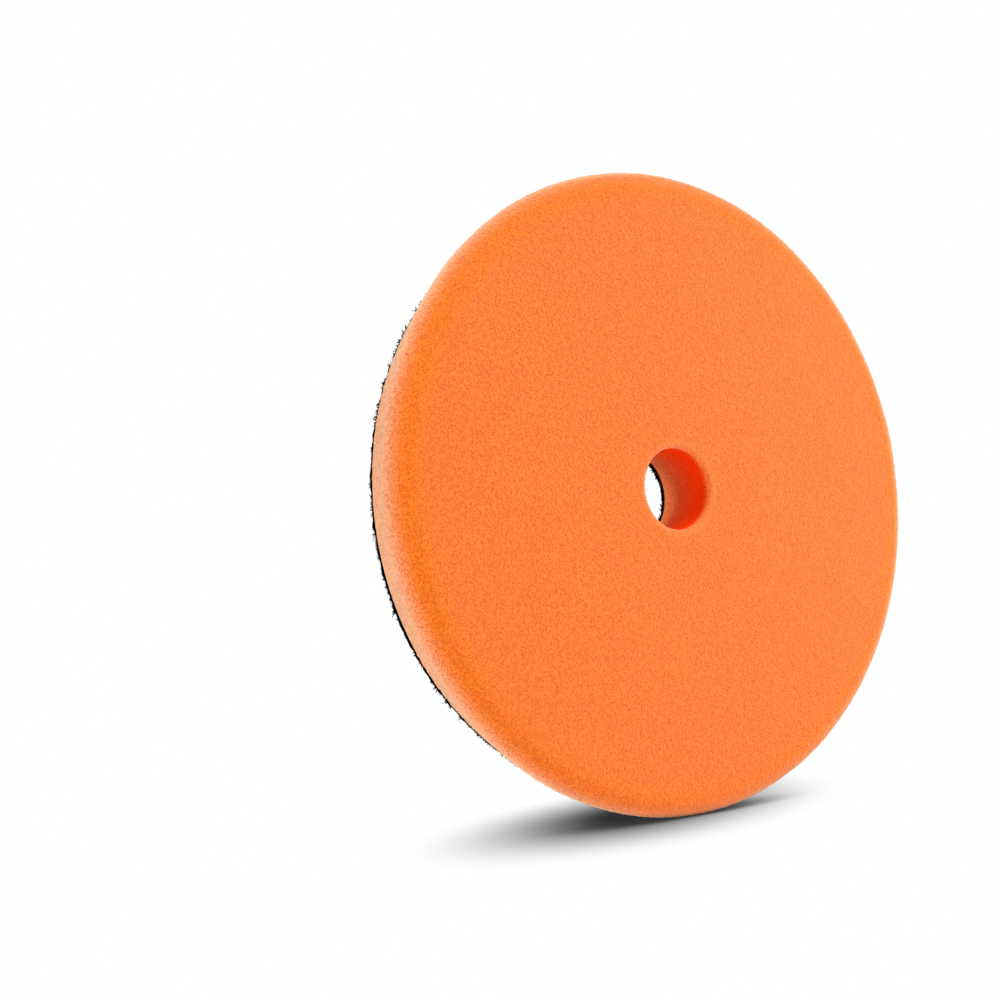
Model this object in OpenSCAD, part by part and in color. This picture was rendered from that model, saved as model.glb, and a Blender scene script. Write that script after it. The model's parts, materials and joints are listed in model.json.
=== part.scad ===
// Round foam polishing pad with a loop backing, standing on its rim.
// The spin axis is Y: the working face looks along -Y and the loop face along +Y.
// The origin is on the axis, half way through the thickness.

/* [Foam disc] */
// Diameter at the widest, just behind the working face
face_d = 165; // [155:1:175]
// Thickness from the working face to the glue line
foam_t = 20.6; // [18:0.2:26]
// Diameter at the glue line, where the side has tapered in
foam_back_d = 154.6; // [154:0.2:156]
// Rounding between the working face and the side
shoulder_r = 5.5; // [2:0.5:7]

/* [Centre hole] */
// Diameter of the straight stretch of the hole, open to the working face
hole_d = 21; // [18:0.5:22]
// Diameter of the hole in the backing, where the foam has opened out
hole_back_d = 24.4; // [23:0.1:26]
// Length of the flared stretch of the hole, next to the backing
hole_flare_l = 8; // [4:0.5:12]
// Rounding of the hole's edge at the working face
hole_lip_r = 0.8; // [0.4:0.1:1.5]

/* [Backing] */
// Diameter of the glued cloth
cloth_d = 152.8; // [151:0.2:153]
// Diameter over the brushed edge of the loops
pile_d = 153.8; // [153:0.2:154]
// Thickness of the adhesive film
glue_t = 0.3; // [0.2:0.05:0.5]
// Thickness of the knitted ground cloth
cloth_t = 0.4; // [0.3:0.05:0.8]
// Height of the brushed loop pile
pile_t = 0.9; // [0.6:0.05:1.5]

/* [Hidden] */

$fn = 96;
arc_steps = 12;

pad_t = foam_t + glue_t + cloth_t + pile_t;
face_z = -pad_t / 2;
glue_z = face_z + foam_t;
cloth_z = glue_z + glue_t;
pile_z = cloth_z + cloth_t;

face_r = face_d / 2;
foam_back_r = foam_back_d / 2;
hole_r = hole_d / 2;
hole_back_r = hole_back_d / 2;

// The side is the straight line from the glue line that just touches the shoulder's arc.
shoulder_c = [face_r - shoulder_r, face_z + shoulder_r];
to_back = [foam_back_r, glue_z] - shoulder_c;
side_angle = atan2(to_back[1], to_back[0]) - acos(shoulder_r / norm(to_back));

// Points on an arc about c of radius r, from angle a0 to angle a1.
function arc(c, r, a0, a1) =
    [for (i = [0:arc_steps]) let (a = a0 + (a1 - a0) * i / arc_steps) c + r * [cos(a), sin(a)]];

// Lays a shape that was turned about Z so that its axis is Y and its top faces +Y.
module on_axis() {
    rotate([-90, 0, 0]) children();
}

// A flat washer between radii r_in and r_out, t thick, with its lower face at z.
module washer(r_in, r_out, z, t) {
    on_axis() translate([0, 0, z]) difference() {
        cylinder(h = t, r = r_out);
        translate([0, 0, -t]) cylinder(h = 3 * t, r = r_in);
    }
}

// Open-cell foam: flat working face, rounded shoulder, side tapering in to the backing.
module foam_disc() {
    lip_c = [hole_r + hole_lip_r, face_z + hole_lip_r];
    outline = concat(
        arc(lip_c, hole_lip_r, 180, 270),
        arc(shoulder_c, shoulder_r, -90, side_angle),
        [[foam_back_r, glue_z], [hole_back_r, glue_z], [hole_r, glue_z - hole_flare_l]]
    );
    color([0.98, 0.45, 0.16]) on_axis() rotate_extrude() polygon(outline);
}

// Hot-melt film that bonds the cloth to the foam.
module adhesive_layer() {
    color([0.85, 0.78, 0.62]) washer(hole_back_r, cloth_d / 2, glue_z, glue_t);
}

// Knitted ground cloth that carries the loops.
module backing_cloth() {
    color([0.05, 0.05, 0.055]) washer(hole_back_r, cloth_d / 2, cloth_z, cloth_t);
}

// Brushed loops that grip the hooks of a backing plate.
module loop_pile() {
    color([0.02, 0.02, 0.025]) washer(hole_back_r, pile_d / 2, pile_z, pile_t);
}

foam_disc();
adhesive_layer();
backing_cloth();
loop_pile();
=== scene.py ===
"""Looks for a round foam polishing pad with a brushed loop backing.

The pad stands on its rim. Its spin axis is Y, its working face looks along -Y and its loops along +Y.
Sizes are in millimetres and become metres when a mesh is made.
"""

import json
import logging
from dataclasses import dataclass, field, replace
from enum import Enum, IntEnum
from itertools import product
from math import acos, atan2, ceil, cos, pi, radians, sin

import bpy
import numpy as np
from mathutils import Matrix, Vector


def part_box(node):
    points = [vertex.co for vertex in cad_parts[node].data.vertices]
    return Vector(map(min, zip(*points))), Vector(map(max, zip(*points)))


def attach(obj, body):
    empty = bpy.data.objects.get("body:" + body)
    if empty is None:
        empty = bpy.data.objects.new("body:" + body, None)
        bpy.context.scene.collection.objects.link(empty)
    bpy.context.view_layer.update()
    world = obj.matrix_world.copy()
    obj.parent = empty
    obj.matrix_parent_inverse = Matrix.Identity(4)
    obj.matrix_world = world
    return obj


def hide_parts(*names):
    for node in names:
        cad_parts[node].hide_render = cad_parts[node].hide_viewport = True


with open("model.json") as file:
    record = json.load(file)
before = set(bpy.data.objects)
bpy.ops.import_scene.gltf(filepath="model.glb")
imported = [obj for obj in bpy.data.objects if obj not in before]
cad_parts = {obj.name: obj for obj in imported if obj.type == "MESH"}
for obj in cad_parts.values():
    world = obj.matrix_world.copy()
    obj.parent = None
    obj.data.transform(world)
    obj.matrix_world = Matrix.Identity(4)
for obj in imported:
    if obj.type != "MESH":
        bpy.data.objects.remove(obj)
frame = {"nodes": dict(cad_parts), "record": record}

MM = 0.001
BODY = "root"
HOLE_BACK_R = 12.2
GOLDEN_ANGLE = 2.399963
LATTICE_FACTORS = (73856093, 19349663, 83492791)
SEED_FACTOR = 2654435761
FOLD_FACTORS = (np.uint64(0x7FEB352D), np.uint64(0x846CA68B))
LOW_BITS = np.uint64(0xFFFFFFFF)
CELL_LIMITS = (0.12, 0.72)
BLOTCH_LIMITS = (0.32, 0.68)
SLANTED = (0.31, 0.57, 0.76)
UP = np.array([0.0, 1.0, 0.0])
Array = np.ndarray
Pair = tuple[float, float]
Triple = tuple[float, float, float]
Colour = Triple
Value = bpy.types.NodeSocket | float
Tint = bpy.types.NodeSocket | Colour

log = logging.getLogger("polishing_pad")


# ---------------------------------------------------------------- noise


def hashed(cells: Array, seed: int) -> Array:
    """Gives each whole-number triple its own random value.

    The three numbers are multiplied by large odd factors and xored, and their low 32 bits are then
    mixed by folding the upper ones down three times, with a multiplication after the first two.

    Args:
        cells: whole numbers, shape (n, 3).
        seed: picks one of many independent sets of values.

    Returns:
        Values from 0 to 1, shape (n,).
    """
    x, y, z = cells.astype(np.int64).astype(np.uint64).T
    by_x, by_y, by_z = LATTICE_FACTORS
    mixed = (x * by_x) ^ (y * by_y) ^ (z * by_z) ^ np.uint64(seed * SEED_FACTOR)
    mixed &= LOW_BITS
    mixed = (mixed ^ (mixed >> np.uint64(16))) * FOLD_FACTORS[0] & LOW_BITS
    mixed = (mixed ^ (mixed >> np.uint64(15))) * FOLD_FACTORS[1] & LOW_BITS
    return (mixed ^ (mixed >> np.uint64(16))).astype(float) / 2.0**32


def smooth_noise(points: Array, cell: float, seed: int) -> Array:
    """Blends the random values at the corners of a cubic lattice, with smoothstep weights.

    Args:
        points: places in millimetres, shape (n, 3).
        cell: side of a lattice cube in millimetres.
        seed: picks the set of corner values.

    Returns:
        Values from -1 to 1, shape (n,).
    """
    scaled = points / cell
    base = np.floor(scaled)
    part = scaled - base
    weight = part * part * (3.0 - 2.0 * part)
    total = np.zeros(len(points))
    for corner in product((0, 1), repeat=3):
        share = np.prod(np.where(corner, weight, 1.0 - weight), axis=1)
        total += share * hashed(base + corner, seed)
    return 2.0 * total - 1.0


# ---------------------------------------------------------------- meshes


class Zone(IntEnum):
    """The stretches of the foam that have a finish of their own, in the order of its materials. Their
    colours hold painted shade and highlights.
    """

    FACE = 0
    BORE = 1
    LIP = 2
    MOUTH = 3


@dataclass
class Surface:
    """A mesh in the making: points in millimetres and faces of three or four corners."""

    points: Array
    faces: list[Array]
    zones: Array | int = 0

    def to_object(self, name: str, *materials: bpy.types.Material) -> bpy.types.Object:
        """Puts the surface into a new object at the origin, in metres.

        Args:
            name: the piece's name.
            *materials: one for each zone of the surface.

        Returns:
            The new object, linked into the scene.
        """
        mesh = bpy.data.meshes.new(name)
        corners = np.concatenate([f.ravel() for f in self.faces]).astype(np.int32)
        sizes = np.concatenate([np.full(len(f), f.shape[1]) for f in self.faces])
        starts = np.concatenate([[0], np.cumsum(sizes)[:-1]]).astype(np.int32)
        mesh.vertices.add(len(self.points))
        mesh.vertices.foreach_set("co", (self.points * MM).astype(np.float32).ravel())
        mesh.loops.add(len(corners))
        mesh.loops.foreach_set("vertex_index", corners)
        mesh.polygons.add(len(sizes))
        mesh.polygons.foreach_set("loop_start", starts)
        mesh.polygons.foreach_set("use_smooth", np.ones(len(sizes), dtype=bool))
        for material in materials:
            mesh.materials.append(material)
        zones = np.broadcast_to(self.zones, len(sizes)).astype(np.int32)
        mesh.polygons.foreach_set("material_index", zones)
        mesh.update(calc_edges=True)
        mesh.validate()
        made = bpy.data.objects.new(name, mesh)
        bpy.context.scene.collection.objects.link(made)
        return made


@dataclass
class Outline:
    """A closed half section, as radius and Y along a path that keeps the material on its left."""

    places: list[Array] = field(default_factory=list)
    roughness: list[Array] = field(default_factory=list)
    zones: list[Array] = field(default_factory=list)

    def line(
        self, start: Pair, end: Pair, gap: float, rough: float, zone: Zone = Zone.FACE
    ) -> None:
        """Adds an even row of points.

        Args:
            start: radius and Y of the first point.
            end: radius and Y that the row stops just short of.
            gap: the widest spacing of the points, in millimetres.
            rough: how rough the stretch is.
            zone: the zone of its faces.
        """
        steps = max(1, ceil(np.hypot(end[0] - start[0], end[1] - start[1]) / gap))
        share = np.arange(steps)[:, None] / steps
        self._add(np.array(start) + share * (np.array(end) - np.array(start)), rough, zone)

    def arc(
        self, centre: Pair, radius: float, turn: Pair, gap: float, rough: float,
        zone: Zone = Zone.FACE
    ) -> None:
        """Adds an even row of points on an arc.

        Args:
            centre: radius and Y of the arc's centre.
            radius: the arc's own radius.
            turn: the angle of the first point, and the angle that the row stops just short of.
            gap: the widest spacing of the points, in millimetres.
            rough: how rough the stretch is.
            zone: the zone of its faces.
        """
        steps = max(2, ceil(abs(turn[1] - turn[0]) * radius / gap))
        angle = turn[0] + (turn[1] - turn[0]) * np.arange(steps) / steps
        ring = np.stack([np.cos(angle), np.sin(angle)], axis=1)
        self._add(np.array(centre) + radius * ring, rough, zone)

    def _add(self, places: Array, rough: float, zone: Zone) -> None:
        """Keeps a stretch of points.

        Args:
            places: radius and Y of each point, shape (n, 2).
            rough: how rough the stretch is.
            zone: the zone of the faces that follow the points.
        """
        self.places.append(places)
        self.roughness.append(np.full(len(places), rough))
        self.zones.append(np.full(len(places), zone))

    def turned(self, gap: float, fewest: int) -> tuple[Surface, Array, Array]:
        """Spins the outline about Y into a closed skin of nearly square cells.

        Ring k has fewest x 2^p points, the smallest power that keeps its points within gap. Rings of
        equal count are joined by squares, and a ring with twice its neighbour's count by three
        triangles for each of the neighbour's edges.

        Args:
            gap: the widest spacing of points round a ring, in millimetres.
            fewest: the count of the smallest ring.

        Returns:
            The surface, its outward unit normals and the roughness at each point.
        """
        path = np.concatenate(self.places)
        rough = np.concatenate(self.roughness)
        ahead, behind = np.roll(path, -1, axis=0), np.roll(path, 1, axis=0)
        along = ahead - behind
        along /= np.linalg.norm(along, axis=1, keepdims=True)
        need = 2.0 * pi * path[:, 0] / (gap * fewest)
        counts = fewest * 2 ** np.ceil(np.log2(np.maximum(need, 1.0))).astype(int)
        first = np.concatenate([[0], np.cumsum(counts)])
        ring = np.repeat(np.arange(len(path)), counts)
        angle = 2.0 * pi * (np.arange(first[-1]) - first[ring]) / counts[ring]
        wheel = np.stack([np.cos(angle), np.zeros_like(angle), np.sin(angle)], axis=1)
        points = path[ring, :1] * wheel + path[ring, 1:] * UP
        normals = along[ring, 1:] * wheel - along[ring, :1] * UP
        faces, zones = [], []
        for k, zone in enumerate(np.concatenate(self.zones)):
            after = (k + 1) % len(path)
            strip = self._strip(first[k], counts[k], first[after], counts[after])
            faces.extend(strip)
            zones.append(np.full(sum(len(f) for f in strip), zone))
        return Surface(points, faces, np.concatenate(zones)), normals, rough[ring]

    @staticmethod
    def _strip(start: int, count: int, next_start: int, next_count: int) -> list[Array]:
        """Joins two neighbouring rings of equal, doubled or halved count.

        Args:
            start: index of the first ring's first point.
            count: the first ring's number of points.
            next_start: index of the second ring's first point.
            next_count: the second ring's number of points.

        Returns:
            Arrays of faces, with their outer side towards the outline's right.
        """
        i = np.arange(min(count, next_count))
        if count == next_count:
            a, a1 = start + i, start + (i + 1) % count
            b, b1 = next_start + i, next_start + (i + 1) % count
            return [np.stack([a, b, b1, a1], axis=1)]
        if next_count == 2 * count:
            a, a1 = start + i, start + (i + 1) % count
            b, b1, b2 = (next_start + (2 * i + s) % next_count for s in range(3))
            return [np.stack(t, axis=1) for t in ((a, b, b1), (a, b1, a1), (a1, b1, b2))]
        a, a1, a2 = (start + (2 * i + s) % count for s in range(3))
        b, b1 = next_start + i, next_start + (i + 1) % next_count
        return [np.stack(t, axis=1) for t in ((a, b, a1), (a1, b, b1), (a1, b1, a2))]


def fibres(path: Array, thickness: Array) -> Surface:
    """Runs a three-sided tube along each of many short paths.

    Round every path point stands a triangle across the path's direction, its corners at 0, 120 and
    240 degrees, and neighbouring triangles are joined by squares. The first and last are closed.

    Args:
        path: points of every fibre, shape (fibres, steps, 3), in millimetres.
        thickness: tube radius at each step, shape (steps,).

    Returns:
        All the tubes as one surface.
    """
    count, steps, _ = path.shape
    along = np.gradient(path, axis=1)
    along /= np.linalg.norm(along, axis=2, keepdims=True)
    side = np.cross(along, SLANTED)
    side /= np.linalg.norm(side, axis=2, keepdims=True)
    other = np.cross(along, side)
    angle = 2.0 * pi * np.arange(3) / 3.0
    spokes = (
        np.cos(angle)[None, None, :, None] * side[:, :, None, :]
        + np.sin(angle)[None, None, :, None] * other[:, :, None, :]
    )
    points = path[:, :, None, :] + thickness[None, :, None, None] * spokes
    root = (np.arange(count) * steps * 3)[:, None, None]
    step = (np.arange(steps - 1) * 3)[None, :, None]
    j = np.arange(3)[None, None, :]
    j1 = (j + 1) % 3
    base = root + step
    squares = np.stack([base + j, base + j1, base + 3 + j1, base + 3 + j], axis=3).reshape(-1, 4)
    start = np.arange(count) * steps * 3
    end = start + (steps - 1) * 3
    caps = np.concatenate([
        np.stack([start, start + 2, start + 1], axis=1),
        np.stack([end, end + 1, end + 2], axis=1),
    ])
    return Surface(points.reshape(-1, 3), [squares, caps])


# ---------------------------------------------------------------- shader building


class Graph:
    """Adds nodes to a node tree and joins them in one call."""

    def __init__(self, tree: bpy.types.NodeTree) -> None:
        """Empties a tree and keeps it.

        Args:
            tree: the node tree to fill.
        """
        self.tree = tree
        tree.nodes.clear()

    def add(self, kind: str, settings: dict | None = None, **inputs: object) -> bpy.types.Node:
        """Adds a node.

        Args:
            kind: the node's type name without "ShaderNode", or its whole type name.
            settings: properties of the node.
            **inputs: values or output sockets for its inputs; an underscore stands for a space,
                and in0, in1 and so on name an input by its place.

        Returns:
            The new node.
        """
        full = kind if kind.startswith("Node") else "ShaderNode" + kind
        node = self.tree.nodes.new(full)
        for key, value in (settings or {}).items():
            setattr(node, key, value)
        for key, value in inputs.items():
            by_place = key.startswith("in") and key[2:].isdigit()
            socket = node.inputs[int(key[2:])] if by_place else node.inputs[key.replace("_", " ")]
            if isinstance(value, bpy.types.NodeSocket):
                self.tree.links.new(value, socket)
            else:
                socket.default_value = value
        return node

    def math(self, operation: str, a: Value, b: Value) -> bpy.types.NodeSocket:
        """Adds a Math node.

        Args:
            operation: the node's operation.
            a: the first value.
            b: the second value.

        Returns:
            The node's result.
        """
        return self.add("Math", {"operation": operation}, in0=a, in1=b).outputs[0]

    def mix(self, share: Value, a: Tint, b: Tint) -> bpy.types.NodeSocket:
        """Blends two colours.

        Args:
            share: how much of b there is, from 0 to 1.
            a: the first colour.
            b: the second colour.

        Returns:
            The blended colour.
        """
        node = self.add("Mix", {"data_type": "RGBA"}, in0=share)
        for place, value in ((6, a), (7, b)):
            if isinstance(value, bpy.types.NodeSocket):
                self.tree.links.new(value, node.inputs[place])
            else:
                node.inputs[place].default_value = (*value, 1.0)
        return node.outputs[2]

    def ramp(self, value: Value, low: float, high: float) -> bpy.types.NodeSocket:
        """Maps a range of values to 0 to 1 with soft ends.

        Args:
            value: the value to map.
            low: what becomes 0.
            high: what becomes 1; it may be less than low.

        Returns:
            The mapped value.
        """
        node = self.add("MapRange", {"interpolation_type": "SMOOTHSTEP"}, Value=value)
        node.inputs["From Min"].default_value = low
        node.inputs["From Max"].default_value = high
        return node.outputs["Result"]


def grain_group() -> bpy.types.NodeTree:
    """Makes the shared grain: cells of a given size with soft blotches over them.

    Returns:
        A node group with inputs Vector, Density (cells in a metre) and Blotch Density, and outputs
        Cells, Blotches and Height, each from 0 to 1.
    """
    tree = bpy.data.node_groups.new("fine_grain", "ShaderNodeTree")
    graph = Graph(tree)
    face = tree.interface
    face.new_socket("Vector", in_out="INPUT", socket_type="NodeSocketVector")
    face.new_socket("Density", in_out="INPUT", socket_type="NodeSocketFloat")
    face.new_socket("Blotch Density", in_out="INPUT", socket_type="NodeSocketFloat")
    for name in ("Cells", "Blotches", "Height"):
        face.new_socket(name, in_out="OUTPUT", socket_type="NodeSocketFloat")
    given = graph.add("NodeGroupInput").outputs
    cells = graph.add("TexVoronoi", {"feature": "F1"}, Vector=given[0], Scale=given[1])
    fine = graph.add("TexNoise", Vector=given[0], Scale=given[1], Detail=2.0, Roughness=0.6)
    soft = graph.add("TexNoise", Vector=given[0], Scale=given[2], Detail=3.0, Roughness=0.55)
    open_cells = graph.ramp(cells.outputs["Distance"], *CELL_LIMITS)
    blotches = graph.ramp(soft.outputs["Fac"], *BLOTCH_LIMITS)
    height = graph.math("MULTIPLY", graph.math("ADD", open_cells, fine.outputs["Fac"]), 0.5)
    graph.add("NodeGroupOutput", Cells=open_cells, Blotches=blotches, Height=height)
    return tree


class Way(Enum):
    """Which way a fade runs: along the pad's axis or out from it."""

    ALONG = "along"
    OUTWARDS = "outwards"


@dataclass(frozen=True)
class Fade:
    """A change to two other grain colours between two values of Y, or between two radii. The fades
    here paint highlights, sheen and shade into the colour.
    """

    start: float
    end: float
    hollow: Colour
    ridge: Colour
    way: Way = Way.ALONG

    def reached(self, graph: Graph, place: bpy.types.NodeSocket) -> bpy.types.NodeSocket:
        """Adds the nodes that say how far the fade has gone at a place.

        Args:
            graph: the material's nodes.
            place: the place in Object coordinates.

        Returns:
            A value from 0 at the start to 1 at the end.
        """
        if self.way is Way.ALONG:
            distance = graph.add("SeparateXYZ", Vector=place).outputs["Y"]
        else:
            across = graph.add(
                "VectorMath", {"operation": "MULTIPLY"}, in0=place, in1=(1.0, 0.0, 1.0))
            radius = graph.add("VectorMath", {"operation": "LENGTH"}, in0=across.outputs[0])
            distance = radius.outputs["Value"]
        return graph.ramp(distance, self.start * MM, self.end * MM)


@dataclass(frozen=True)
class Finish:
    """One finish: two colours in a grain, blotches, a bump and the softness of its gloss.

    Blotches without a colour of their own take the ridge colour. Fades follow one another.
    """

    name: str
    hollow: Colour
    ridge: Colour
    cell: float
    blotch_size: float
    blotch_share: float
    bump: float
    rough: float
    gloss: float
    blotch: Colour | None = None
    sheen: float = 0.0
    sheen_rough: float = 0.5
    sheen_tint: Colour = (1.0, 1.0, 1.0)
    fades: tuple[Fade, ...] = ()

    def material(self, grain: bpy.types.NodeTree) -> bpy.types.Material:
        """Builds the finish's material on Object coordinates.

        Args:
            grain: the shared grain group.

        Returns:
            The material.
        """
        made = bpy.data.materials.new(self.name)
        made.use_nodes = True
        graph = Graph(made.node_tree)
        place = graph.add("TexCoord").outputs["Object"]
        group = graph.add("Group", {"node_tree": grain}, Vector=place)
        group.inputs["Density"].default_value = 1.0 / (self.cell * MM)
        group.inputs["Blotch Density"].default_value = 1.0 / (self.blotch_size * MM)
        hollow, ridge = self.hollow, self.ridge
        for fade in self.fades:
            reached = fade.reached(graph, place)
            hollow = graph.mix(reached, hollow, fade.hollow)
            ridge = graph.mix(reached, ridge, fade.ridge)
        # Where the cells sink in the bump they take the darker hollow colour: partly the surface's
        # own uneven tone, partly painted shade in the pits.
        grainy = graph.mix(group.outputs["Cells"], hollow, ridge)
        share = graph.math("MULTIPLY", group.outputs["Blotches"], self.blotch_share)
        colour = graph.mix(share, grainy, self.blotch or ridge)
        bump = graph.add("Bump", Strength=1.0, Distance=self.bump * MM)
        made.node_tree.links.new(group.outputs["Height"], bump.inputs["Height"])
        shader = graph.add("BsdfPrincipled", Base_Color=colour, Normal=bump.outputs[0])
        shader.inputs["Roughness"].default_value = self.rough
        shader.inputs["Specular IOR Level"].default_value = self.gloss
        shader.inputs["Sheen Weight"].default_value = self.sheen
        shader.inputs["Sheen Roughness"].default_value = self.sheen_rough
        shader.inputs["Sheen Tint"].default_value = (*self.sheen_tint, 1.0)
        graph.add("OutputMaterial", Surface=shader.outputs[0])
        return made


FOAM = Finish(
    name="orange_foam", hollow=(0.80, 0.095, 0.0), ridge=(0.97, 0.205, 0.020), cell=0.56,
    blotch_size=1.4, blotch_share=0.30, bump=0.12, rough=0.9, gloss=0.18, sheen=0.78,
    sheen_rough=0.5, sheen_tint=(1.0, 0.90, 0.60),
    fades=(
        # Painted shade: from 73 mm outwards the orange turns deeper and more saturated, standing in
        # for the sheen haze that the face shows and the shoulder lacks.
        Fade(
            start=73.0, end=77.5, hollow=(0.82, 0.095, 0.0), ridge=(0.99, 0.212, 0.004),
            way=Way.OUTWARDS),
        # Painted sheen: towards the back the side turns a pale peach, standing in for sheen lit from
        # behind.
        Fade(start=-10.5, end=-5.6, hollow=(0.70, 0.090, 0.010), ridge=(0.95, 0.350, 0.160)),
        # Painted highlight: a lighter, yellower ring on the face just round the hole's lip.
        Fade(
            start=12.9, end=11.7, hollow=(0.85, 0.120, 0.008), ridge=(0.99, 0.245, 0.042),
            way=Way.OUTWARDS),
    ),
)
# Painted shade: the hole's wall is a deep red, darker than the face, standing in for light that
# reaches it only after bouncing in the foam.
BORE = replace(
    FOAM, name="orange_foam_in_hole", hollow=(0.88, 0.045, 0.0), ridge=(1.0, 0.070, 0.001),
    gloss=0.0, sheen=0.0,
    # Painted haze and shade: towards the back the wall turns a duller, greyer mauve, standing in for
    # light grazing in from behind.
    fades=(Fade(start=-7.5, end=8.0, hollow=(0.64, 0.120, 0.028), ridge=(0.78, 0.230, 0.080)),),
)
# Painted highlight: the hole's rounded lip is a lighter, yellower orange than the face.
LIP = replace(
    FOAM, name="orange_foam_cut_edge", hollow=(0.92, 0.150, 0.015), ridge=(1.0, 0.275, 0.060),
    sheen=1.0, sheen_rough=0.35, sheen_tint=(1.0, 0.95, 0.90), fades=(),
)
# The mouth fades from the lip's painted highlight into the wall's painted deep-red shade.
MOUTH = replace(
    BORE, name="orange_foam_hole_mouth", hollow=LIP.hollow, ridge=LIP.ridge,
    fades=(Fade(start=-10.6, end=-8.0, hollow=BORE.hollow, ridge=BORE.ridge),),
)
GLUE = Finish(
    name="hot_melt_film", hollow=(0.50, 0.36, 0.20), ridge=(0.72, 0.56, 0.36),
    blotch=(0.60, 0.42, 0.22), cell=0.8, blotch_size=3.0, blotch_share=0.5, bump=0.04,
    rough=0.45, gloss=0.4,
)
CLOTH = Finish(
    name="black_ground_knit", hollow=(0.004, 0.004, 0.005), ridge=(0.015, 0.015, 0.018),
    blotch=(0.008, 0.008, 0.010), cell=0.35, blotch_size=2.0, blotch_share=0.4, bump=0.12,
    rough=0.9, gloss=0.05,
)
PILE = Finish(
    name="black_brushed_pile", hollow=(0.0006, 0.0006, 0.001), ridge=(0.002, 0.002, 0.0028),
    blotch=(0.001, 0.001, 0.0014), cell=0.4, blotch_size=6.0, blotch_share=0.6, bump=0.15,
    rough=1.0, gloss=0.0,
)
YARN = Finish(
    name="black_loop_yarn", hollow=(0.0010, 0.0010, 0.0014), ridge=(0.0035, 0.0035, 0.0045),
    blotch=(0.002, 0.002, 0.0026), cell=0.3, blotch_size=5.0, blotch_share=0.5, bump=0.02,
    rough=0.9, gloss=0.015,
)


# ---------------------------------------------------------------- sub-assemblies


@dataclass(frozen=True)
class Layers:
    """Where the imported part's layers lie, in millimetres, read from the frame."""

    face_y: float
    glue_y: float
    cloth_y: float
    pile_y: float
    back_y: float
    face_r: float
    cloth_r: float
    pile_r: float
    hole_r: float

    @classmethod
    def from_frame(cls) -> "Layers":
        """Reads the boxes of the CAD nodes and the centre hole's mount.

        Returns:
            The layers.
        """
        boxes = {name: [np.array(c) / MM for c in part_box(name)] for name in frame["nodes"]}
        foam, glue = boxes["foam_disc"], boxes["adhesive_layer"]
        cloth, pile = boxes["backing_cloth"], boxes["loop_pile"]
        mounts = {m["name"]: m for m in frame["record"]["mounts"]}
        return cls(
            face_y=foam[0][1], glue_y=glue[0][1], cloth_y=cloth[0][1], pile_y=pile[0][1],
            back_y=pile[1][1], face_r=foam[1][0], cloth_r=cloth[1][0], pile_r=pile[1][0],
            hole_r=mounts["centre_hole"]["dims"]["r_mm"],
        )


class Side(Enum):
    """Which edge of the backing a fringe grows from."""

    RIM = 1
    HOLE = -1


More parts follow.
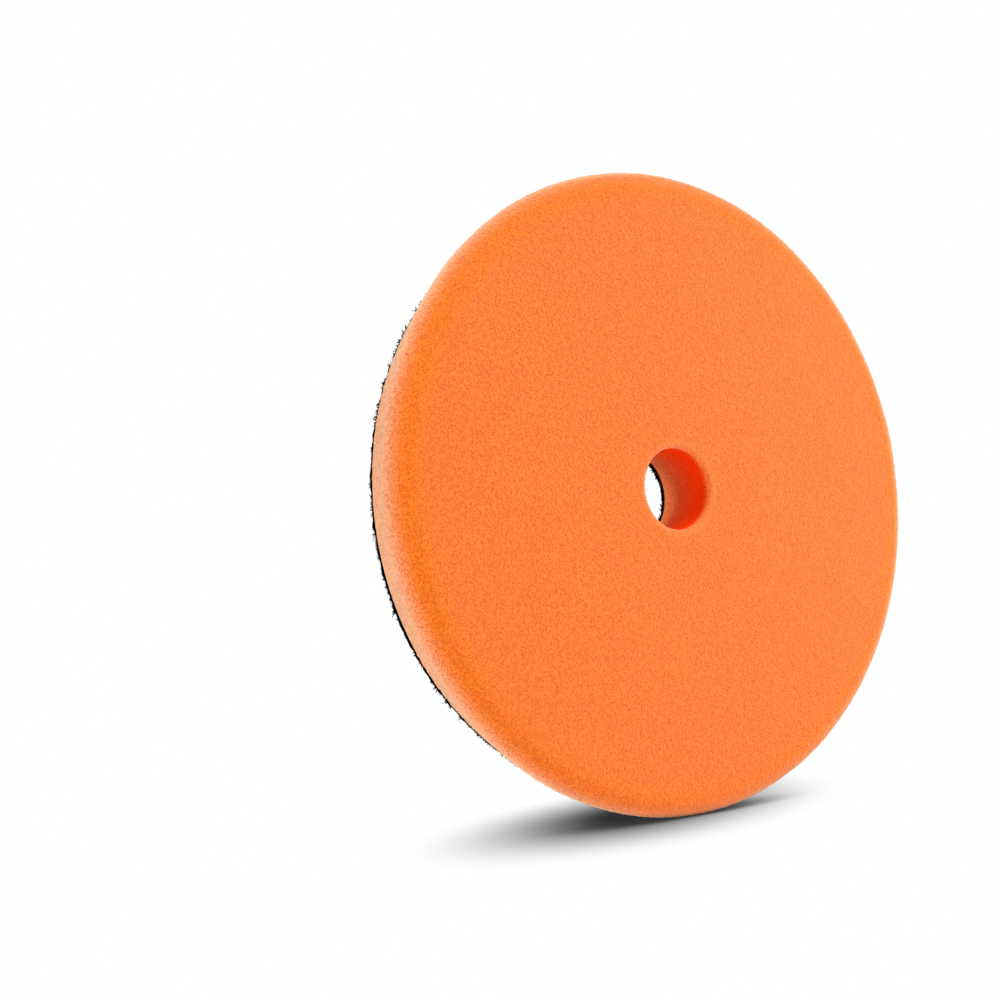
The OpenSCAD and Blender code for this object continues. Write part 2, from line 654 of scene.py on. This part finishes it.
@dataclass
class FoamDisc:
    """The foam: flat face, rounded shoulder, tapered side, and a hole that opens to the back."""

    layers: Layers
    back_r: float = 77.3
    shoulder: float = 5.5
    lip: float = 1.2
    mouth: float = 3.4
    flare_r: float = HOLE_BACK_R
    flare_length: float = 8.0
    gap: float = 0.42
    ring_gap: float = 0.46
    fewest: int = 144
    grain_depth: float = 0.045
    clump_depth: float = 0.03
    clump_size: float = 1.4
    wave_depth: float = 0.10
    wave_size: float = 14.0
    most_grain: float = 2.0
    shoulder_roughness: float = 1.2
    side_roughness: float = 2.4
    hidden_coarseness: float = 8.0
    seed: int = 11

    def outline(self) -> Outline:
        """Draws the half section.

        The side is the straight line from the back edge that just touches the shoulder's arc: it
        meets the arc where the radius stands square to it, at the direction of the back edge less
        the angle whose cosine is the arc's radius over the back edge's distance.

        Returns:
            The closed outline, from the back of the hole round to the back edge.
        """
        at = self.layers
        arc_r, arc_y = at.face_r - self.shoulder, at.face_y + self.shoulder
        out, back = self.back_r - arc_r, at.glue_y - arc_y
        side = atan2(back, out) - acos(self.shoulder / np.hypot(out, back))
        touch = (arc_r + self.shoulder * cos(side), arc_y + self.shoulder * sin(side))
        lip_r, lip_y = at.hole_r + self.lip, at.face_y + self.lip
        flare_y = at.glue_y - self.flare_length
        mouth_y = at.face_y + self.mouth
        hidden_gap = self.hidden_coarseness * self.gap
        drawn = Outline()
        drawn.line((self.flare_r, at.glue_y), (at.hole_r, flare_y), self.gap, 1.0, Zone.BORE)
        drawn.line((at.hole_r, flare_y), (at.hole_r, mouth_y), self.gap, 1.0, Zone.BORE)
        drawn.line((at.hole_r, mouth_y), (at.hole_r, lip_y), self.gap, 1.0, Zone.MOUTH)
        drawn.arc((lip_r, lip_y), self.lip, (pi, 1.5 * pi), self.gap, 1.0, Zone.LIP)
        drawn.line((lip_r, at.face_y), (arc_r, at.face_y), self.gap, 1.0)
        drawn.arc(
            (arc_r, arc_y), self.shoulder, (-0.5 * pi, side), self.gap, self.shoulder_roughness)
        drawn.line(touch, (self.back_r, at.glue_y), self.gap, self.side_roughness)
        drawn.line((self.back_r, at.glue_y), (self.flare_r, at.glue_y), hidden_gap, 0.0)
        return drawn

    def surface(self) -> Surface:
        """Turns the outline and pushes each point along its normal by the foam's roughness.

        The push is a random step for each point, which stands for the cut cells, plus smooth noise
        the size of a clump of cells and a slow wave across the whole face.

        Returns:
            The foam's skin.
        """
        skin, normals, rough = self.outline().turned(self.ring_gap, self.fewest)
        chance = np.random.default_rng(self.seed)
        grain = chance.standard_normal(len(rough)).clip(-self.most_grain, self.most_grain)
        push = self.grain_depth * grain
        push += self.clump_depth * smooth_noise(skin.points, self.clump_size, self.seed)
        push += self.wave_depth * smooth_noise(skin.points, self.wave_size, self.seed + 1)
        skin.points += (rough * push)[:, None] * normals
        return skin

    def build(self, grain: bpy.types.NodeTree) -> list[bpy.types.Object]:
        """Args:
            grain: the shared grain group.

        Returns:
            The foam, alone in a list.
        """
        finishes = [finish.material(grain) for finish in (FOAM, BORE, LIP, MOUTH)]
        foam = self.surface().to_object("foam_pad", *finishes)
        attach(foam, BODY)
        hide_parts("foam_disc")
        return [foam]


@dataclass(frozen=True)
class LoopStyle:
    """How the brushed loops stand. Ranges are shares of the usual size."""

    rings: int = 5
    spacing: float = 0.92
    height: float = 0.45
    height_range: Pair = (0.75, 1.2)
    width: float = 0.95
    width_range: Pair = (0.7, 1.3)
    lean: float = 0.5
    turn_scatter: float = 0.05
    root_share: float = 0.6
    yarn_r: float = 0.055
    steps: int = 6
    hole_margin: float = 0.4
    rim_margin: float = 0.3


@dataclass(frozen=True)
class FringeStyle:
    """How the loose fibres lie round an edge. Each tuft turns its own way and has its own length."""

    spacing: float = 0.075
    start: Pair = (0.0, 0.5)
    rim_length: float = 1.05
    hole_length: float = 0.75
    length_range: Pair = (0.6, 1.2)
    least_length: float = 0.55
    tuft_length: float = 0.75
    tuft_limits: Pair = (-0.5, 1.0)
    tuft_size: float = 0.9
    tuft_turn: float = 35.0
    turn_scatter: float = 22.0
    bend: float = 0.45
    bend_rise: float = 0.6
    fibre_r: float = 0.12
    taper: tuple[float, ...] = (1.0, 1.0, 0.9, 0.75, 0.45)


@dataclass
class Backing:
    """The glue film, the knitted cloth, and the brushed loops with their ragged edges."""

    layers: Layers
    hole_r: float = HOLE_BACK_R
    ring_gap: float = 0.9
    fewest: int = 90
    upper_coarseness: float = 0.7
    under_coarseness: float = 6.0
    bump_size: float = 0.8
    swell_size: float = 3.5
    swell_share: float = 0.6
    edge_wave: float = 0.30
    edge_wave_size: float = 1.6
    edge_width: float = 2.0
    off_centre: float = 0.3
    cloth_depth: float = 0.02
    nap_depth: float = 0.10
    nap_height: float = 0.75
    film_inset: float = 0.5
    overhang: float = 0.15
    loop: LoopStyle = LoopStyle()
    hair: FringeStyle = FringeStyle()
    film_seed: int = 27
    cloth_seed: int = 28
    nap_seed: int = 26
    loop_seed: int = 23
    loop_seed_step: int = 10
    fringe_seed: int = 24

    def washer(
        self, low: float, high: float, outer: float, rough: float, seed: int, inset: float = 0.0
    ) -> Surface:
        """Turns a flat ring with slightly wavy edges.

        Args:
            low: Y of the side towards the foam.
            high: Y of the side away from the foam.
            outer: outer radius.
            rough: how far the upper side is pushed in and out.
            seed: picks the ring's own noise.
            inset: how far both edges are drawn back into the ring.

        Returns:
            The closed ring.
        """
        drawn = Outline()
        step = (high - low) / 2.0
        inner, outer = self.hole_r + inset, outer - inset
        drawn.line((inner, high), (inner, low), step, 0.0)
        drawn.line((inner, low), (outer, low), self.under_coarseness * self.ring_gap, 0.0)
        drawn.line((outer, low), (outer, high), step, 0.0)
        drawn.line((outer, high), (inner, high), self.upper_coarseness * self.ring_gap, rough)
        ring, normals, roughness = drawn.turned(self.ring_gap, self.fewest)
        push = smooth_noise(ring.points, self.bump_size, seed)
        push += self.swell_share * smooth_noise(ring.points, self.swell_size, seed + 1)
        ring.points += (roughness * push)[:, None] * normals
        radius = np.hypot(ring.points[:, 0], ring.points[:, 2])
        flat = ring.points * [1.0, 0.0, 1.0]
        wave = self.edge_wave * smooth_noise(flat, self.edge_wave_size, seed + 2)
        near_rim = np.clip((radius - outer + self.edge_width) / self.edge_width, 0.0, 1.0)
        near_hole = np.clip((inner + self.edge_width - radius) / self.edge_width, 0.0, 1.0)
        scale = 1.0 + wave * (near_rim + near_hole) / radius
        ring.points *= np.stack([scale, np.ones_like(scale), scale], axis=1)
        return ring

    def loops(self, inner: float, outer: float, seed: int) -> Surface:
        """Fills a ring-shaped zone with low arched loops of yarn.

        Loop i of n stands at the radius whose square is an even share i/n of the way from the inner
        radius's square to the outer's, and at the golden angle times i, which spreads the loops
        evenly. Each rises as the sine of half a turn along its width and leans over to one side.

        Args:
            inner: inner radius of the zone.
            outer: outer radius of the zone.
            seed: picks the loops' random turns and sizes.

        Returns:
            All the loops as one surface.
        """
        loop = self.loop
        chance = np.random.default_rng(seed)
        count = int(pi * (outer**2 - inner**2) / loop.spacing**2)
        i = np.arange(count)
        radius = np.sqrt(inner**2 + (outer**2 - inner**2) * (i + chance.random(count)) / count)
        angle = GOLDEN_ANGLE * i + loop.turn_scatter * chance.standard_normal(count)
        heading = 2.0 * pi * chance.random(count)
        width = loop.width * chance.uniform(*loop.width_range, count)
        height = loop.height * chance.uniform(*loop.height_range, count)
        lean = chance.uniform(-loop.lean, loop.lean, count)
        share = np.linspace(0.0, 1.0, loop.steps)
        arch = np.sin(pi * share)
        ahead = np.stack([np.cos(heading), np.zeros(count), np.sin(heading)], axis=1)
        aside = np.stack([-np.sin(heading), np.zeros(count), np.cos(heading)], axis=1)
        root = np.stack([
            radius * np.cos(angle),
            np.full(count, self.layers.pile_y + loop.root_share * self.nap_height),
            radius * np.sin(angle),
        ], axis=1)
        path = (
            root[:, None]
            + (width[:, None] * (share - 0.5))[:, :, None] * ahead[:, None]
            + (lean[:, None] * arch)[:, :, None] * aside[:, None]
            + (height[:, None] * arch)[:, :, None] * UP
        )
        return fibres(path, np.full(loop.steps, loop.yarn_r))

    def fringe(self, side: Side, seed: int) -> Surface:
        """Grows short loose fibres out over an edge of the cloth.

        Fibre i starts just inside the edge and runs away from the cloth, turned from the straight
        way out by its tuft's angle and a random one, with a bend that grows as the square of the
        way along.

        Args:
            side: the edge that the fibres grow from.
            seed: picks the fibres' random turns and lengths.

        Returns:
            All the fibres as one surface.
        """
        hair = self.hair
        chance = np.random.default_rng(seed)
        at_rim = side is Side.RIM
        edge, longest = (
            (self.layers.pile_r, hair.rim_length) if at_rim else (self.hole_r, hair.hole_length))
        count = int(2.0 * pi * edge / hair.spacing)
        angle = 2.0 * pi * (np.arange(count) + chance.random(count)) / count
        out = side.value * np.stack([np.cos(angle), np.zeros(count), np.sin(angle)], axis=1)
        beside = np.stack([-np.sin(angle), np.zeros(count), np.cos(angle)], axis=1)
        low, high = self.layers.cloth_y, self.layers.back_y
        start_r = edge - side.value * chance.uniform(*hair.start, count)
        root = side.value * start_r[:, None] * out + chance.uniform(low, high, count)[:, None] * UP
        around = edge * np.stack([np.cos(angle), np.zeros(count), np.sin(angle)], axis=1)
        tuft = smooth_noise(around, hair.tuft_size, seed)
        scatter = hair.turn_scatter * chance.standard_normal(count)
        turn = np.radians(scatter + hair.tuft_turn * tuft)
        length = longest * (hair.least_length + hair.tuft_length * tuft.clip(*hair.tuft_limits))
        length *= chance.uniform(*hair.length_range, count)
        bend = hair.bend * chance.standard_normal((count, 2))
        share = np.linspace(0.0, 1.0, len(hair.taper))
        straight = np.cos(turn)[:, None] * out + np.sin(turn)[:, None] * beside
        curl = bend[:, :1] * beside + hair.bend_rise * bend[:, 1:] * UP
        path = (
            root[:, None]
            + (length[:, None] * share)[:, :, None] * straight[:, None]
            + (length[:, None] * share**2)[:, :, None] * curl[:, None]
        )
        return fibres(path, hair.fibre_r * np.array(hair.taper))

    def laid(self, made: Surface) -> Surface:
        """Lowers a surface to where the backing sits, a little off the foam's centre.

        Args:
            made: the surface, drawn round the foam's axis.

        Returns:
            The same surface.
        """
        made.points[:, 2] -= self.off_centre
        return made

    def build(self, grain: bpy.types.NodeTree) -> list[bpy.types.Object]:
        """Makes the film, the cloth, the nap, the loops in rings of equal area and the fringes.

        Args:
            grain: the shared grain group.

        Returns:
            All the backing's pieces.
        """
        at = self.layers
        yarn = YARN.material(grain)
        film = self.washer(
            at.glue_y, at.cloth_y, at.cloth_r, 0.0, self.film_seed, self.film_inset)
        glue = self.laid(film).to_object("glue_film", GLUE.material(grain))
        knit = self.washer(
            at.cloth_y, at.pile_y, at.cloth_r, self.cloth_depth, self.cloth_seed)
        cloth = self.laid(knit).to_object("ground_cloth", CLOTH.material(grain))
        nap_top = at.pile_y + self.nap_height
        felt = self.washer(
            at.pile_y, nap_top, at.pile_r + self.overhang, self.nap_depth, self.nap_seed)
        nap = self.laid(felt).to_object("pile_nap", PILE.material(grain))
        pile = [nap]
        nearest, farthest = self.hole_r + self.loop.hole_margin, at.pile_r - self.loop.rim_margin
        edges = np.sqrt(np.linspace(nearest**2, farthest**2, self.loop.rings + 1))
        for i, (inner, outer) in enumerate(zip(edges[:-1], edges[1:]), start=1):
            seed = self.loop_seed + self.loop_seed_step * i
            loops = self.laid(self.loops(inner, outer, seed))
            pile.append(loops.to_object(f"pile_loops_{i}", yarn))
        for seed, side in enumerate(Side, start=self.fringe_seed):
            fringe = self.laid(self.fringe(side, seed))
            pile.append(fringe.to_object(f"{side.name.lower()}_fringe", yarn))
        for piece, slot in ((glue, "adhesive"), (cloth, "cloth"), *((p, "pile") for p in pile)):
            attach(piece, BODY)
        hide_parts("adhesive_layer")
        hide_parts("backing_cloth")
        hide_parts("loop_pile")
        return [glue, cloth, *pile]


# ---------------------------------------------------------------- the set


def new_light(name: str, kind: str, towards: Triple) -> bpy.types.Object:
    """Adds a light that shines from a direction towards the pad's middle.

    Args:
        name: the light's name.
        kind: the light's type name.
        towards: direction from the pad to the light.

    Returns:
        The light, at the origin.
    """
    made = bpy.data.objects.new(name, bpy.data.lights.new(name, kind))
    made.rotation_mode = "QUATERNION"
    made.rotation_quaternion = Vector(towards).to_track_quat("Z", "Y")
    bpy.context.scene.collection.objects.link(made)
    return made


@dataclass(frozen=True)
class Sun:
    """An even, soft light: where it comes from, watts per square metre, and width in degrees."""

    name: str
    towards: Triple
    strength: float
    spread: float

    def build(self) -> None:
        """Adds the light."""
        made = new_light(self.name, "SUN", self.towards)
        made.data.energy = self.strength
        made.data.angle = radians(self.spread)


@dataclass(frozen=True)
class Panel:
    """A square light that looks at the pad's middle: its centre and side in mm, and its watts."""

    name: str
    place: Triple
    side: float
    power: float

    def build(self) -> None:
        """Adds the light."""
        made = new_light(self.name, "AREA", self.place)
        made.data.energy = self.power
        made.data.size = self.side * MM
        made.location = Vector(self.place) * MM


LIGHTS = (
    Sun("top", towards=(0.22, -0.42, 0.88), strength=1.90, spread=35.0),
    Panel("key", place=(310.0, -300.0, 120.0), side=180.0, power=0.40),
    Sun("edge", towards=(0.85, 0.30, 0.40), strength=0.7, spread=25.0),
    Sun("rim", towards=(-0.92, 0.25, 0.28), strength=1.32, spread=20.0),
    Sun("fill", towards=(-0.75, -0.56, 0.35), strength=0.42, spread=30.0),
    Sun("behind", towards=(-0.10, 0.66, 0.74), strength=0.7, spread=40.0),
)


@dataclass
class Studio:
    """Camera, world, floor and lights."""

    layers: Layers
    turn: float = -39.14
    rise: float = -3.70
    distance: float = 429.8
    aim: Triple = (-54.8, -11.1, -1.4)
    roll: float = 4.63
    lens: float = 59.4
    sensor: float = 36.0
    sight: Pair = (10.0, 50000.0)
    floor_half: float = 3000.0
    floor_drop: float = 0.1
    floor_white: float = 0.90
    ambient: float = 0.21
    shade_reach: float = 60.0
    shade_centre: Pair = (-4.0, 12.0)
    shade_radii: Pair = (88.0, 48.0)
    shade_height: float = 1000.0
    shade_turn: float = 26.0
    shade_core: float = 0.12
    shade_dark: float = 0.03
    shade_clear: float = 0.55
    shade_samples: int = 16

    def camera(self) -> None:
        """Stands the camera before the working face, to its left and a little below its centre."""
        turn, rise = radians(self.turn), radians(self.rise)
        towards = Vector((sin(turn) * cos(rise), -cos(turn) * cos(rise), sin(rise)))
        place = towards * self.distance
        away = place - Vector(self.aim)
        data = bpy.data.cameras.new("camera")
        data.lens = self.lens
        data.sensor_width = self.sensor
        data.clip_start, data.clip_end = (reach * MM for reach in self.sight)
        made = bpy.data.objects.new("camera", data)
        level = away.to_track_quat("Z", "Y").to_matrix().to_4x4()
        spin = Matrix.Rotation(-radians(self.roll), 4, "Z")
        made.matrix_world = Matrix.Translation(place * MM) @ level @ spin
        bpy.context.scene.collection.objects.link(made)
        bpy.context.scene.camera = made

    def floor(self) -> None:
        """Lays a white floor just under the pad's rim.

        The camera sees it evenly white, with a soft oval shade under the pad that grows darker
        where the pad touches; all other rays meet a matte white floor.
        """
        half, low = self.floor_half, -self.layers.face_r - self.floor_drop
        corners = np.array([(-half, -half), (half, -half), (half, half), (-half, half)])
        points = np.column_stack([corners, np.full(4, low)])
        white = bpy.data.materials.new("white_floor")
        white.use_nodes = True
        graph = Graph(white.node_tree)
        place = graph.add("TexCoord").outputs["Object"]
        oval = graph.add("Mapping", {"vector_type": "TEXTURE"}, Vector=place)
        oval.inputs["Location"].default_value = [c * MM for c in (*self.shade_centre, low)]
        oval.inputs["Rotation"].default_value = (0.0, 0.0, radians(self.shade_turn))
        oval.inputs["Scale"].default_value = [c * MM for c in (*self.shade_radii, self.shade_height)]
        away = graph.add("VectorMath", {"operation": "LENGTH"}, in0=oval.outputs[0])
        light = graph.ramp(away.outputs["Value"], self.shade_core, 1.0)
        near = graph.add("AmbientOcclusion", Distance=self.shade_reach * MM)
        near.samples = self.shade_samples
        clear = graph.ramp(near.outputs["AO"], 0.0, self.shade_clear)
        bright, dark = (1.0,) * 3, (self.shade_dark,) * 3
        soft = graph.mix(light, dark, bright)
        both_shades = graph.mix(clear, dark, soft)
        shown = graph.add("Emission", Color=both_shades)
        matte = graph.add("BsdfDiffuse", Color=(*(self.floor_white,) * 3, 1.0))
        seen = graph.add("LightPath").outputs["Is Camera Ray"]
        both = graph.add("MixShader", in0=seen, in1=matte.outputs[0], in2=shown.outputs[0])
        graph.add("OutputMaterial", Surface=both.outputs[0])
        floor = Surface(points, [np.array([[0, 1, 2, 3]])]).to_object("floor", white)

    def world(self) -> None:
        """Surrounds the set with even white light and a white background."""
        made = bpy.data.worlds.new("white_room")
        made.use_nodes = True
        graph = Graph(made.node_tree)
        seen = graph.add("LightPath").outputs["Is Camera Ray"]
        lit = graph.add("Background", Color=(1.0, 1.0, 1.0, 1.0), Strength=self.ambient)
        shown = graph.add("Background", Color=(1.0, 1.0, 1.0, 1.0), Strength=1.0)
        both = graph.add("MixShader", in0=seen, in1=lit.outputs[0], in2=shown.outputs[0])
        graph.add("OutputWorld", Surface=both.outputs[0])
        bpy.context.scene.world = made

    def build(self) -> None:
        """Sets up the whole studio."""
        bpy.context.scene.view_settings.view_transform = "Standard"
        self.camera()
        self.world()
        self.floor()
        for light in LIGHTS:
            light.build()


def main() -> None:
    """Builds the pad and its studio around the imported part."""
    logging.basicConfig(level=logging.INFO, format="%(name)s: %(message)s")
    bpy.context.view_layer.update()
    layers = Layers.from_frame()
    Studio(layers).build()
    grain = grain_group()
    for assembly in (FoamDisc(layers), Backing(layers)):
        for piece in assembly.build(grain):
            log.info("%s: %d faces", piece.name, len(piece.data.polygons))


if __name__ == "__main__":
    main()
